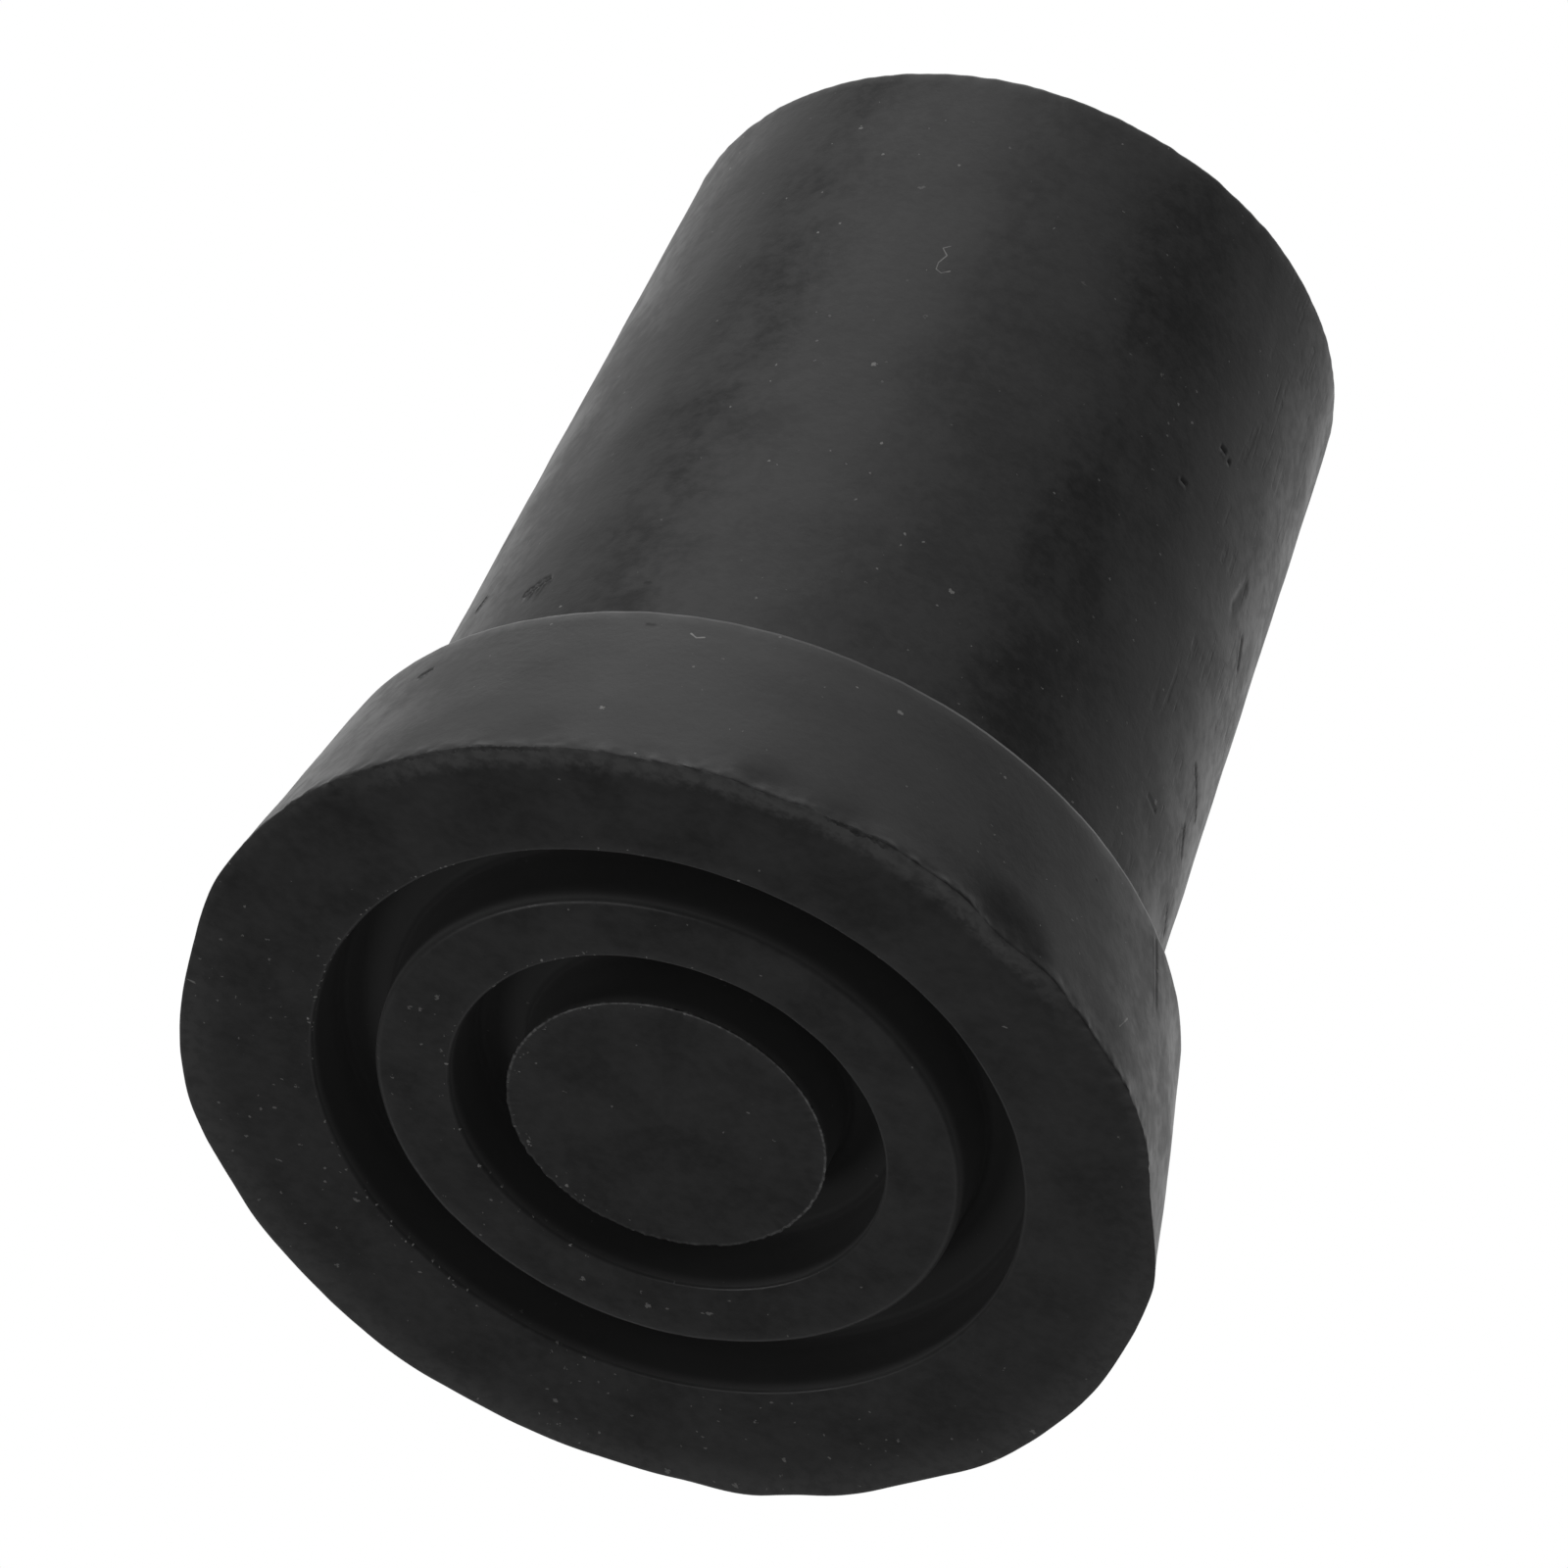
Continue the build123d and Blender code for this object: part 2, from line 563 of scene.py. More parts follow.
def mottle_group():
    """Uneven bloom of moulded rubber: broad clouds broken up by finer ones. Sizes in mm."""
    tree, given, result = group(
        "rubber_mottle",
        [("Place", VECTOR, None), ("Cloud Size", FLOAT, 3.0), ("Grain Size", FLOAT, 0.5)],
        ["Cloud", "Grain"],
    )
    for size, detail, name in (("Cloud Size", 4, "Cloud"), ("Grain Size", 3, "Grain")):
        scale = maths(tree, "DIVIDE", 1.0, given[size])
        clouds = noise(tree, given["Place"], scale, detail, 0.6)
        tree.links.new(ramp(tree, clouds["Fac"], 0.3, 0.7), result[name])
    return tree


def dust_group():
    """Small irregular specks of dust, scattered in clusters. Sizes in mm."""
    tree, given, result = group(
        "dust_specks",
        [
            ("Place", VECTOR, None),
            ("Spacing", FLOAT, 1.0),
            ("Speck Size", FLOAT, 0.1),
            ("Amount", FLOAT, 0.5),
        ],
        ["Specks"],
    )
    # one speck to a cell, in cells whose places wobble so that the specks are ragged
    wobble = noise(tree, given["Place"], 11.0, 1.0)["Color"]
    reach = maths(tree, "MULTIPLY", given["Speck Size"], 1.8)
    shift = vector_maths(tree, "SCALE", wobble, Scale=reach)
    moved = vector_maths(tree, "ADD", given["Place"], shift)
    scale = maths(tree, "DIVIDE", 1.0, given["Spacing"])
    cells = add(tree, "TexVoronoi", {}, {"Vector": moved, "Scale": scale}).outputs
    chance = add(tree, "SeparateColor", {}, {"Color": cells["Color"]}).outputs

    # red says which cells have a speck, green how large it is and blue how pale
    cluster = ramp(tree, noise(tree, given["Place"], 0.55, 3.0)["Fac"], 0.4, 0.62, 0.15, 1.9)
    kept = maths(
        tree, "LESS_THAN", chance["Red"], maths(tree, "MULTIPLY", given["Amount"], cluster)
    )
    two_cells = maths(tree, "MULTIPLY", given["Spacing"], 2.0)
    middling = maths(tree, "DIVIDE", given["Speck Size"], two_cells)
    radius = maths(tree, "MULTIPLY", middling, ramp(tree, chance["Green"], 0.0, 1.0, 0.5, 1.3))
    near = maths(tree, "LESS_THAN", cells["Distance"], radius)
    strength = ramp(tree, chance["Blue"], 0.0, 1.0, 0.25, 1.0)
    speck = maths(tree, "MULTIPLY", maths(tree, "MULTIPLY", near, kept), strength)
    tree.links.new(speck, result["Specks"])
    return tree


def edge_line_group():
    """A thin line that runs round the axis at a radius and a height, broken where Breaks is low."""
    tree, given, result = group(
        "edge_line",
        [
            ("Radius", FLOAT, None),
            ("Height", FLOAT, None),
            ("Line Radius", FLOAT, 10.0),
            ("Line Height", FLOAT, 0.0),
            ("Width", FLOAT, 0.1),
            ("Breaks", FLOAT, 1.0),
            ("Amount", FLOAT, 0.5),
        ],
        ["Mask"],
    )
    across = maths(tree, "SUBTRACT", given["Radius"], given["Line Radius"])
    along = maths(tree, "SUBTRACT", given["Height"], given["Line Height"])
    squares = [maths(tree, "MULTIPLY", distance, distance) for distance in (across, along)]
    off = maths(tree, "SQRT", maths(tree, "ADD", *squares))
    line = ramp(tree, maths(tree, "DIVIDE", off, given["Width"]), 1.0, 0.5)
    shown = maths(tree, "ADD", given["Breaks"], maths(tree, "SUBTRACT", given["Amount"], 0.5))
    tree.links.new(maths(tree, "MULTIPLY", line, ramp(tree, shown, 0.3, 0.8)), result["Mask"])
    return tree


def stroke_group():
    """A short thin stroke from one place to another, roughened by Wobble. Sizes in mm."""
    tree, given, result = group(
        "surface_stroke",
        [
            ("Place", VECTOR, None),
            ("Start", VECTOR, (0, 0, 0)),
            ("End", VECTOR, (1, 0, 0)),
            ("Width", FLOAT, 0.1),
            ("Softness", FLOAT, 0.3),
            ("Wobble", FLOAT, 0.5),
        ],
        ["Mask"],
    )
    offset = vector_maths(tree, "SUBTRACT", given["Place"], given["Start"])
    run = vector_maths(tree, "SUBTRACT", given["End"], given["Start"])
    done = vector_maths(tree, "DOT_PRODUCT", offset, run)
    whole = vector_maths(tree, "DOT_PRODUCT", run, run)
    share = maths(tree, "DIVIDE", done, whole, clamp=True)
    beside = vector_maths(tree, "SUBTRACT", offset, vector_maths(tree, "SCALE", run, Scale=share))
    off = maths(tree, "DIVIDE", vector_maths(tree, "LENGTH", beside), given["Width"])
    rough = maths(tree, "ADD", off, maths(tree, "MULTIPLY", given["Wobble"], 0.5))
    inner = maths(tree, "SUBTRACT", 1.0, given["Softness"])
    tree.links.new(ramp(tree, rough, 1.0, inner), result["Mask"])
    return tree


# Light strokes of lint and torn skin, and soft dark or pale spots: (surface, width, softness,
# places), where a place is the angle and the height, or on the floor face the radius
LINT_STROKES = [
    (on_shank, 0.034, 0.5, [(256.1, 29.02), (255.1, 28.85), (256.2, 28.55), (255.4, 28.13),
                            (255.5, 27.81), (256.5, 27.68), (257.7, 27.86)]),
    (on_foot, 0.05, 0.5, [(248.6, 6.95), (249.5, 6.76), (250.4, 6.85)]),
    (on_foot, 0.06, 0.5, [(317.9, 1.8), (319.4, 2.6)]),
    (on_face, 0.04, 0.6, [(247.0, 7.12), (256.0, 7.14)]),
]
DARK_SPOTS = [
    (on_shank, 0.22, 0.8, [(234.5, 11.3), (235.1, 11.3)]),
    (on_foot, 0.2, 0.8, [(242.8, 7.2), (243.4, 7.2)]),
    (on_foot, 0.09, 0.5, [(308.5, 6.05), (308.6, 6.05)]),
    (on_face, 0.6, 0.9, [(289.5, 8.2), (292.0, 8.1)]),
    (on_face, 0.5, 0.9, [(157.2, 8.5), (157.6, 8.7)]),
]
PALE_CLOUDS = [
    (on_face, 1.1, 0.9, [(124.0, 8.4), (131.0, 8.5)]),
    (on_face, 0.9, 0.9, [(72.0, 15.2), (64.0, 15.3)]),
]

RUBBER_BLACK = (0.0085, 0.0085, 0.0087, 1)
RUBBER_GREY = (0.0315, 0.0315, 0.0317, 1)
# grooves: painted fill light, partly dust; walls paler than floors, and palest deep down
GROOVE_WALL_DUST_AND_PAINTED_FILL = (0.058, 0.058, 0.058, 1)
GROOVE_WALL_DEEP_DUST_AND_PAINTED_FILL = (0.100, 0.100, 0.100, 1)
GROOVE_FLOOR_DUST_AND_PAINTED_FILL = (0.041, 0.041, 0.041, 1)
WORN_GREY = (0.095, 0.095, 0.095, 1)
# dark spots, and painted shade in the cuts and in the crevices of the torn edge
SPOT_AND_SHADE_BLACK = (0.005, 0.005, 0.005, 1)
# pale flash round the disc, and painted highlights on the grooves' lips and the ledge's edge
FLASH_AND_HIGHLIGHT_GREY = (0.22, 0.22, 0.22, 1)
DUST_COLOUR = (0.48, 0.475, 0.465, 1)

# Sides of the part that a finish, a painted highlight or a painted shade keeps to: (bearing in
# degrees about Z, half-angle over which it is full, half-angle past which it is gone)
TRIMMED_RIM_SIDE = (262, 34, 54)
RUBBED_RIM_SIDE = (80, 80, 112)
DISC_FLASH_HIGHLIGHT_SIDES = ((230, 40, 70), (345, 25, 60))
INNER_LIP_HIGHLIGHT_SIDE = (64, 20, 44)
OUTER_LIP_HIGHLIGHT_SIDE = (66, 18, 40)
LEDGE_HIGHLIGHT_SIDE = (315, 20, 45)
TORN_SHADE_SIDE = (280, 24, 34)
LIGHTLY_TORN_SHADE_SIDE = (240, 20, 50)
DUSTY_RIM_SIDE = (112, 55, 100)
CRUMBED_LIPS_SIDE = (185, 60, 110)
DUSTY_SHANK_SIDE = (292, 12, 25)
HANDLED_SIDE = (262, 38, 60)
SCUFFED_SIDE = (334, 12, 24)

# Heights, radii and slopes over which a finish or painted fill light comes in: (where it is
# nothing, where it is full)
FLOOR_HEIGHTS = (0.35, 0.15)
SIDE_HEIGHTS = (1.0, 2.0)
SHANK_HEIGHTS = (8.0, 9.5)
SCUFFED_HEIGHTS = (8.5, 9.5)
WORN_HEIGHTS = (0.5, 0.25)
DOWNWARD_SLOPES = (-0.1, -0.85)
GROOVE_START_HEIGHTS = (0.03, 0.12)
GROOVE_END_HEIGHTS = (4.5, 4.0)
GROOVE_OUTER_RADII = (12.2, 11.9)
DUST_AND_FILL_DEEP_WALL_HEIGHTS = (0.2, 1.8)
WORN_WALL_HEIGHTS = (0.5, 0.1)
TRIMMED_RIM_RADII = (15.1, 15.75)
RUBBED_RIM_RADII = (14.3, 16.0)
RIM_EDGE_RADII = (15.5, 15.95)

# Widths of the thin lines that follow an edge, and how far outside it the painted shade lines of
# the torn edge start, which makes up for their wander
FLASH_LINE_WIDTH = 0.08
LIP_HIGHLIGHT_WIDTH = 0.05
LEDGE_HIGHLIGHT_WIDTH = 0.07
CRUMBED_WIDTH = 0.3
TEAR_SHIFT = 0.2

# How strong each layer is: at 1 it hides what lies under it
TRIMMED_RIM_AMOUNT = 0.8
RUBBED_RIM_AMOUNT = 0.5
RIM_EDGE_AMOUNT = 0.3
GROOVE_LIP_HIGHLIGHT_AMOUNT = 0.8
TORN_SHADE_AMOUNT = 0.8
LIGHTLY_TORN_SHADE_AMOUNT = 0.6
CRUMB_AMOUNT = 0.7
FIBRE_AMOUNT = 0.6
HIDDEN_IN_GROOVES = 0.8
HIDDEN_ON_SIDES = 0.45
PALE_CLOUD_AMOUNT = 0.08
LINT_AMOUNT = 0.55
CUT_AMOUNT = 0.85
DARK_SPOT_AMOUNT = 0.6

# Roughness of the finish: of the bare rubber from black to grey, and of the layers over it
RUBBER_ROUGHNESS = (0.33, 0.47)
WORN_ROUGHNESS = 0.5
GROOVE_ROUGHNESS = 0.7
CUT_ROUGHNESS = 0.8
DUST_ROUGHNESS = 0.8
HANDLED_SMOOTHING = -0.16


def rubber_material():
    """Black moulded rubber, mottled, worn along the foot's edge and lightly dusty, with painted
    highlights on its edges, painted shade in cuts and crevices, and painted fill light in the
    grooves.
    """
    material = bpy.data.materials.new("black_rubber")
    material.use_nodes = True
    tree = material.node_tree
    shader = tree.nodes["Principled BSDF"]

    def times(*values):
        total = values[0]
        for value in values[1:]:
            total = maths(tree, "MULTIPLY", total, value)
        return total

    def most(*values):
        total = values[0]
        for value in values[1:]:
            total = maths(tree, "MAXIMUM", total, value)
        return total

    def scaled(value, gain, base):
        return maths(tree, "MULTIPLY_ADD", value, gain, base)

    def blend(amount, first, second):
        inputs = {"Factor": amount, 6: first, 7: second}
        return add(tree, "Mix", {"data_type": "RGBA"}, inputs).outputs[2]

    # where on the moulded shape a point lies, in millimetres
    place = add(tree, "Attribute", {"attribute_name": "moulded_place"}).outputs["Vector"]
    axes = add(tree, "SeparateXYZ", {}, {"Vector": place}).outputs
    height = axes["Z"]
    flat = add(tree, "CombineXYZ", {}, {"X": axes["X"], "Y": axes["Y"]}).outputs[0]
    radius = vector_maths(tree, "LENGTH", flat)
    outward = vector_maths(tree, "NORMALIZE", flat)

    def towards(bearing, inner, outer):
        """Full within an inner half-angle of a bearing about Z, and nothing past the outer."""
        facing = vector_maths(tree, "DOT_PRODUCT", outward, round_about(bearing, 1, 0))
        return ramp(tree, facing, math.cos(math.radians(outer)), math.cos(math.radians(inner)))

    floor_side = ramp(tree, height, *FLOOR_HEIGHTS)
    on_side = ramp(tree, height, *SIDE_HEIGHTS)
    in_groove = times(
        ramp(tree, height, *GROOVE_START_HEIGHTS),
        ramp(tree, height, *GROOVE_END_HEIGHTS),
        ramp(tree, radius, *GROOVE_OUTER_RADII),
    )
    normal = add(tree, "NewGeometry").outputs["Normal"]
    slope = add(tree, "SeparateXYZ", {}, {"Vector": normal}).outputs["Z"]
    faces_down = ramp(tree, slope, *DOWNWARD_SLOPES)

    # uneven tone of the rubber itself, with more contrast on the sides
    mottle = use(tree, mottle_group(), {"Place": place, "Cloud Size": 2.0, "Grain Size": 0.42})
    cloud, grain = mottle["Cloud"], mottle["Grain"]
    patches = ramp(tree, noise(tree, place, 0.24, 1.0)["Fac"], 0.32, 0.68, 0.0, 0.30)
    uneven = maths(tree, "ADD", scaled(cloud, 0.37, times(grain, 0.33)), patches)
    contrast = scaled(on_side, 0.7, 1.0)
    about_middle = maths(tree, "SUBTRACT", uneven, 0.5)
    shade = maths(tree, "MULTIPLY_ADD", about_middle, contrast, 0.5, clamp=True)
    tone = blend(shade, RUBBER_BLACK, RUBBER_GREY)
    # the grooves' walls and floors take paler tones than the rubber: painted fill light, partly
    # dust
    deep_wall_dust_and_fill = blend(ramp(tree, height, *DUST_AND_FILL_DEEP_WALL_HEIGHTS), GROOVE_WALL_DUST_AND_PAINTED_FILL, GROOVE_WALL_DEEP_DUST_AND_PAINTED_FILL)
    wall = blend(ramp(tree, height, *WORN_WALL_HEIGHTS), deep_wall_dust_and_fill, WORN_GREY)
    tone = blend(in_groove, tone, blend(faces_down, wall, GROOVE_FLOOR_DUST_AND_PAINTED_FILL))

    # the rim is rubbed grey: in a narrow band where it was trimmed, and softly elsewhere
    ragged = scaled(grain, 0.22, radius)
    trimmed_band = times(towards(*TRIMMED_RIM_SIDE), ramp(tree, ragged, *TRIMMED_RIM_RADII))
    rubbed_band = times(towards(*RUBBED_RIM_SIDE), ramp(tree, radius, *RUBBED_RIM_RADII))
    worn = times(
        most(
            times(trimmed_band, TRIMMED_RIM_AMOUNT),
            times(rubbed_band, RUBBED_RIM_AMOUNT),
            times(ramp(tree, radius, *RIM_EDGE_RADII), RIM_EDGE_AMOUNT),
        ),
        ramp(tree, height, *WORN_HEIGHTS),
        faces_down,
        ramp(tree, grain, 0.0, 0.8, 0.65, 1.0),
    )
    tone = blend(worn, tone, WORN_GREY)

    # thin pale lines: painted highlights on the grooves' lips and the ledge's edge, and the disc's
    # pale flash rim with a painted highlight; dark lines of painted shade in the crevices where
    # trimming tore the edge
    edge_line = edge_line_group()
    fine_grain = noise(tree, place, 5.0, 3.0, 0.65)["Fac"]

    def line(line_radius, line_height, width, amount, breaks=fine_grain, wander=0.0):
        inputs = {
            "Radius": scaled(fine_grain, wander, radius),
            "Height": height,
            "Line Radius": line_radius,
            "Line Height": line_height,
            "Width": width,
            "Breaks": breaks,
            "Amount": amount,
        }
        return use(tree, edge_line, inputs)["Mask"]

    disc_line = times(
        line(DISC_RADIUS + 0.8 * FLASH_REACH, 0, FLASH_LINE_WIDTH, amount=0.5),
        scaled(most(*(towards(*side) for side in DISC_FLASH_HIGHLIGHT_SIDES)), 0.75, 0.25),
    )
    inner_lip_highlight = line(INNER_GROOVE_RADIUS, 0, LIP_HIGHLIGHT_WIDTH, amount=0.6)
    outer_lip_highlight = line(OUTER_GROOVE_RADIUS, 0, LIP_HIGHLIGHT_WIDTH, amount=0.5)
    ledge_side, ledge_top = FOOT_TOP_RADIUS + 0.02, FOOT_TOP_RADIUS - LEDGE_EDGE_RADIUS
    ledge_highlight = times(
        most(
            line(ledge_side, FOOT_HEIGHT - LEDGE_EDGE_RADIUS, LEDGE_HIGHLIGHT_WIDTH, amount=1.0),
            line(ledge_top, FOOT_HEIGHT, LEDGE_HIGHLIGHT_WIDTH, amount=1.0),
        ),
        scaled(towards(*LEDGE_HIGHLIGHT_SIDE), 0.7, 0.3),
    )
    flash_and_highlights = most(
        disc_line,
        times(inner_lip_highlight, towards(*INNER_LIP_HIGHLIGHT_SIDE), GROOVE_LIP_HIGHLIGHT_AMOUNT),
        times(outer_lip_highlight, towards(*OUTER_LIP_HIGHLIGHT_SIDE), GROOVE_LIP_HIGHLIGHT_AMOUNT),
        ledge_highlight,
    )
    tone = blend(flash_and_highlights, tone, FLASH_AND_HIGHLIGHT_GREY)
    # dark broken lines along the torn edge: painted shade in its crevices
    tear_radius = FOOT_RADIUS + TEAR_SHIFT
    tear_shade = line(tear_radius, 0.05, 0.15, amount=0.42, breaks=uneven, wander=0.5)
    light_tear_shade = line(tear_radius, 0.03, 0.11, amount=0.40, breaks=uneven, wander=0.5)
    torn_edge_shade = most(
        times(tear_shade, towards(*TORN_SHADE_SIDE), TORN_SHADE_AMOUNT),
        times(light_tear_shade, towards(*LIGHTLY_TORN_SHADE_SIDE), LIGHTLY_TORN_SHADE_AMOUNT),
    )

    # dust: crumbs along the grooves' lips, specks all over and a few fibres
    dust = dust_group()

    def scattered(where, spacing, size, amount):
        inputs = {"Place": where, "Spacing": spacing, "Speck Size": size, "Amount": amount}
        return use(tree, dust, inputs)["Specks"]

    lips = (DISC_RADIUS, INNER_GROOVE_RADIUS, OUTER_GROOVE_RADIUS)
    at_lips = most(*(line(lip, 0, CRUMBED_WIDTH, amount=1.0, breaks=1.0) for lip in lips))
    crumbed = times(at_lips, towards(*CRUMBED_LIPS_SIDE), CRUMB_AMOUNT)
    away_from_disc = ramp(tree, radius, 5.0, 7.5, 0.1, 1.0)
    dusty_rim = times(floor_side, towards(*DUSTY_RIM_SIDE), away_from_disc)
    dusty_side = times(on_side, scaled(towards(*DUSTY_SHANK_SIDE), 0.2, 0.16))
    fine_amount = maths(tree, "ADD", scaled(dusty_rim, 1.0, 0.08), dusty_side)
    coarse_amount = maths(tree, "ADD", scaled(dusty_rim, 0.9, 0.04), times(on_side, 0.03))
    stretched = add(
        tree,
        "Mapping",
        {},
        {"Vector": place, "Rotation": (0.5, 0.3, 0.9), "Scale": (0.16, 1.0, 1.0)},
    ).outputs["Vector"]
    all_specks = most(
        scattered(place, 0.45, 0.08, fine_amount),
        scattered(place, 0.85, 0.15, coarse_amount),
        scattered(place, 0.2, 0.08, crumbed),
        times(scattered(stretched, 0.8, 0.05, 0.2), FIBRE_AMOUNT),
    )
    hidden = most(times(in_groove, HIDDEN_IN_GROOVES), times(on_side, HIDDEN_ON_SIDES))
    specks = times(all_specks, maths(tree, "SUBTRACT", 1.0, hidden))

    # lint, spots, and painted shade in the cuts
    stroke = stroke_group()

    def strokes(table):
        marks = []
        for surface, width, softness, places in table:
            for first, second in zip(places, places[1:]):
                inputs = {
                    "Place": place,
                    "Start": surface(*first),
                    "End": surface(*second),
                    "Width": width,
                    "Softness": softness,
                    "Wobble": grain,
                }
                marks.append(use(tree, stroke, inputs)["Mask"])
        return most(*marks)

    tone = blend(times(strokes(PALE_CLOUDS), PALE_CLOUD_AMOUNT), tone, WORN_GREY)
    tone = blend(most(specks, times(strokes(LINT_STROKES), LINT_AMOUNT)), tone, DUST_COLOUR)
    cut = add(tree, "Attribute", {"attribute_name": "cut_shade"}).outputs["Fac"]
    spots = times(strokes(DARK_SPOTS), DARK_SPOT_AMOUNT)
    dark = most(times(cut, CUT_AMOUNT), spots, torn_edge_shade)
    tone = blend(dark, tone, SPOT_AND_SHADE_BLACK)
    tree.links.new(tone, shader.inputs["Base Color"])

    # finish: smoother where the shank is handled, and duller where it is worn, cut or dusty
    finish = ramp(tree, uneven, 0.1, 0.9, *RUBBER_ROUGHNESS)
    handled = times(ramp(tree, height, *SHANK_HEIGHTS), towards(*HANDLED_SIDE))
    finish = times(finish, scaled(handled, HANDLED_SMOOTHING, 1.0))
    layers = (
        (worn, WORN_ROUGHNESS),
        (in_groove, GROOVE_ROUGHNESS),
        (dark, CUT_ROUGHNESS),
        (specks, DUST_ROUGHNESS),
    )
    for amount, roughness in layers:
        finish = add(tree, "Mix", {}, {"Factor": amount, 2: finish, 3: roughness}).outputs[0]
    tree.links.new(finish, shader.inputs["Roughness"])
    shader.inputs["Specular IOR Level"].default_value = 0.4

    # relief: pores, and scuffs drawn along the shank's right side
    drawn = add(tree, "Mapping", {}, {"Vector": place, "Scale": (3.0, 3.0, 0.3)}).outputs["Vector"]
    scuffed = times(
        towards(*SCUFFED_SIDE),
        ramp(tree, height, *SCUFFED_HEIGHTS),
        ramp(tree, cloud, 0.45, 0.8),
        ramp(tree, noise(tree, drawn, 1.0, 2.0)["Fac"], 0.5, 0.68),
    )
    pores = scaled(fine_grain, 0.12, times(grain, 0.14))
    relief = maths(tree, "ADD", pores, times(scuffed, -0.45))
    bump = add(tree, "Bump", {}, {"Height": relief, "Distance": 0.02 * MM, "Strength": 1.0})
    tree.links.new(bump.outputs["Normal"], shader.inputs["Normal"])
    return material


# How dark the painted shade in a cut is: its depth as a share of the darkest one's, times a value
# that falls from the cut's middle by this much over its width
DARKEST_CUT = 0.13
CUT_MIDDLE = 1.1
CUT_FALL = 1.8


def shade_cuts(piece):
    """The piece's attribute that says how dark each point is in its cuts and nicks: painted shade.
    """
    shade = piece.data.attributes.new("cut_shade", "FLOAT", "POINT")
    for line, (_, _, _, width, depth) in zip(scar_lines, SCARS):
        centre = (line[0] + line[1]) / 2
        reach = (line[1] - line[0]).length / 2 + width
        for place, index, _ in vertex_finder.find_range(centre * MM, reach * MM):
            across = off_line(place / MM, *line) / width
            amount = depth / DARKEST_CUT * (CUT_MIDDLE - CUT_FALL * across)
            if amount > shade.data[index].value:
                shade.data[index].value = min(amount, 1)


shade_cuts(rubber_body)
rubber_body.data.materials.append(rubber_material())
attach(rubber_body, "root")
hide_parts("rubber_tip")

# ---------------------------------------------------------------- camera

CAMERA_AIM = Vector((-0.842, 0.0, 15.157)) * MM
CAMERA_ELEVATION = -42.5537
CAMERA_ROLL = 23.379
CAMERA_DISTANCE = 620.363 * MM
CAMERA_LENS = 450

elevation = math.radians(CAMERA_ELEVATION)
view_direction = Vector((0, math.cos(elevation), -math.sin(elevation)))
camera_roll = Quaternion((0, 0, 1), math.radians(CAMERA_ROLL))
camera_turn = view_direction.to_track_quat("-Z", "Y") @ camera_roll
bpy.ops.object.camera_add(location=CAMERA_AIM - view_direction * CAMERA_DISTANCE)
camera = bpy.context.object
camera.rotation_mode = "QUATERNION"
camera.rotation_quaternion = camera_turn
camera.data.lens = CAMERA_LENS
camera.data.sensor_width = 36
camera.data.clip_end = 20
bpy.context.scene.camera = camera

# ---------------------------------------------------------------- light

# Round soft lamps about the part. Each stands at a turn to the right of overhead and a lean
# towards the lens, both in degrees as the camera sees them, and shines at a level.
LAMPS = {
    "overhead": (0, 5, 0.584),
    "overhead_rear": (0, -22, 0.757),
    "overhead_far": (0, -50, 0.417),
    "right_shoulder": (28, 5, 0.33),
    "right_shoulder_rear": (28, -22, 0.30),
    "left_shoulder": (-30, 5, 2.05),
    "left_high": (-60, 5, 1.80),
    "under": (180, 0, 0.30),
    "low_left": (-131.5, 26.5, 1.05),
}
SMALL_LAMPS = {"low_left"}
LAMP_DISTANCE = 0.5
LAMP_SIZE = 0.3
SMALL_LAMP_SIZE = 0.14
LAMP_POWER = math.pi ** 2 * (LAMP_SIZE / 2) ** 2      # makes a lamp of that size 1 bright
ROOM_LEVEL = 0.148
BACKDROP_LEVEL = 0.74
BACKDROP_FALL = 2.0         # how fast the brightness behind the part falls off to its sides
WHITE = (1, 1, 1, 1)


def seen_direction(turn, lean):
    """A direction in the part's frame from a turn and a lean as the camera sees them."""
    turn, lean = math.radians(turn), math.radians(lean)
    return camera_turn @ Vector(
        (math.sin(turn) * math.cos(lean), math.cos(turn) * math.cos(lean), math.sin(lean))
    )


for name, (turn, lean, level) in LAMPS.items():
    direction = seen_direction(turn, lean)
    bpy.ops.object.light_add(type="AREA", location=CAMERA_AIM + direction * LAMP_DISTANCE)
    lamp = bpy.context.object
    lamp.name = name
    lamp.rotation_mode = "QUATERNION"
    lamp.rotation_quaternion = direction.to_track_quat("Z", "Y")
    lamp.data.shape = "DISK"
    lamp.data.size = SMALL_LAMP_SIZE if name in SMALL_LAMPS else LAMP_SIZE
    lamp.data.energy = level * LAMP_POWER
    lamp.visible_camera = False


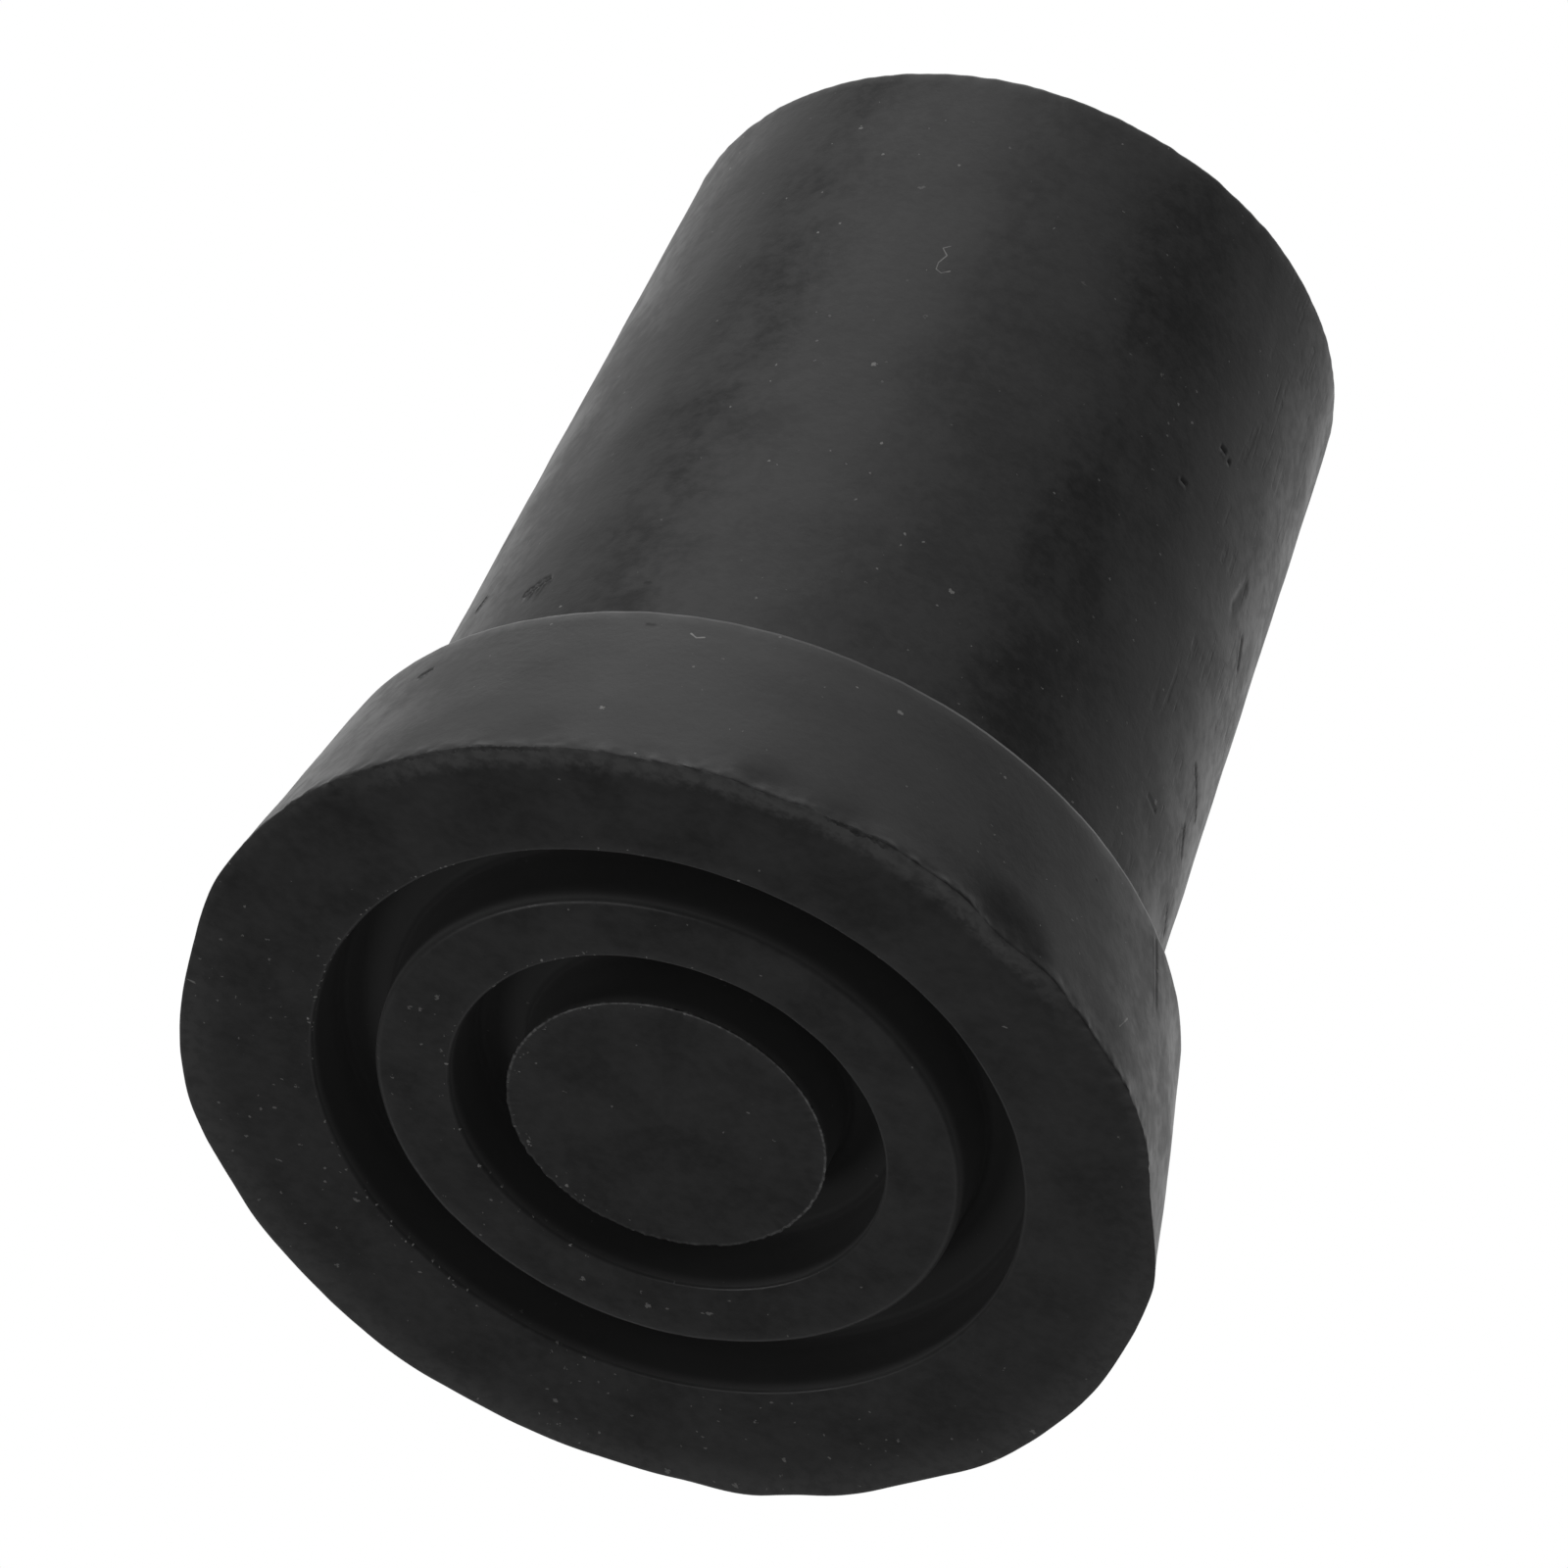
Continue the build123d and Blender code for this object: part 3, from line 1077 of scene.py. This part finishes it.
def studio_world():
    """White to the camera; to every other ray a dim room, bright behind the part."""
    world = bpy.data.worlds.new("studio")
    bpy.context.scene.world = world
    world.use_nodes = True
    tree = world.node_tree
    room = tree.nodes["Background"]
    room.inputs["Color"].default_value = WHITE
    sky = add(tree, "TexCoord").outputs["Generated"]
    behind = vector_maths(tree, "DOT_PRODUCT", sky, view_direction)
    facing = maths(tree, "POWER", maths(tree, "MAXIMUM", behind, 0.0), BACKDROP_FALL)
    level = maths(tree, "MULTIPLY_ADD", facing, BACKDROP_LEVEL, ROOM_LEVEL)
    tree.links.new(level, room.inputs["Strength"])
    white = add(tree, "Background", {}, {"Color": WHITE, "Strength": 1.0})
    seen = add(tree, "LightPath").outputs["Is Camera Ray"]
    mix = add(tree, "MixShader", {}, {0: seen, 1: room.outputs[0], 2: white.outputs[0]})
    tree.links.new(mix.outputs[0], tree.nodes["World Output"].inputs["Surface"])


studio_world()

# ---------------------------------------------------------------- floor

FLOOR_DROP = 0.3            # in millimetres below the floor face, clear of its uneven skin
FLOOR_RADIUS = 4.0
FLOOR_COLOUR = (0.9, 0.9, 0.9, 1)

bpy.ops.object.select_all(action="DESELECT")
bpy.ops.mesh.primitive_circle_add(
    vertices=96, radius=FLOOR_RADIUS, fill_type="NGON", location=(0, 0, low.z - FLOOR_DROP * MM)
)
floor = bpy.context.object
floor.name = "studio_floor"


def floor_material():
    """Pale and solid from above, and clear to the light and to a camera below it."""
    material = bpy.data.materials.new("pale_floor")
    material.use_nodes = True
    tree = material.node_tree
    tree.nodes.remove(tree.nodes["Principled BSDF"])
    paint = add(tree, "BsdfDiffuse", {}, {"Color": FLOOR_COLOUR})
    clear = add(tree, "BsdfTransparent")
    above = maths(tree, "SUBTRACT", 1.0, add(tree, "NewGeometry").outputs["Backfacing"])
    solid = maths(tree, "MULTIPLY", add(tree, "LightPath").outputs["Is Camera Ray"], above)
    mix = add(tree, "MixShader", {}, {0: solid, 1: clear.outputs[0], 2: paint.outputs[0]})
    tree.links.new(mix.outputs[0], tree.nodes["Material Output"].inputs["Surface"])
    return material


floor.data.materials.append(floor_material())

bpy.context.scene.view_settings.view_transform = "Standard"
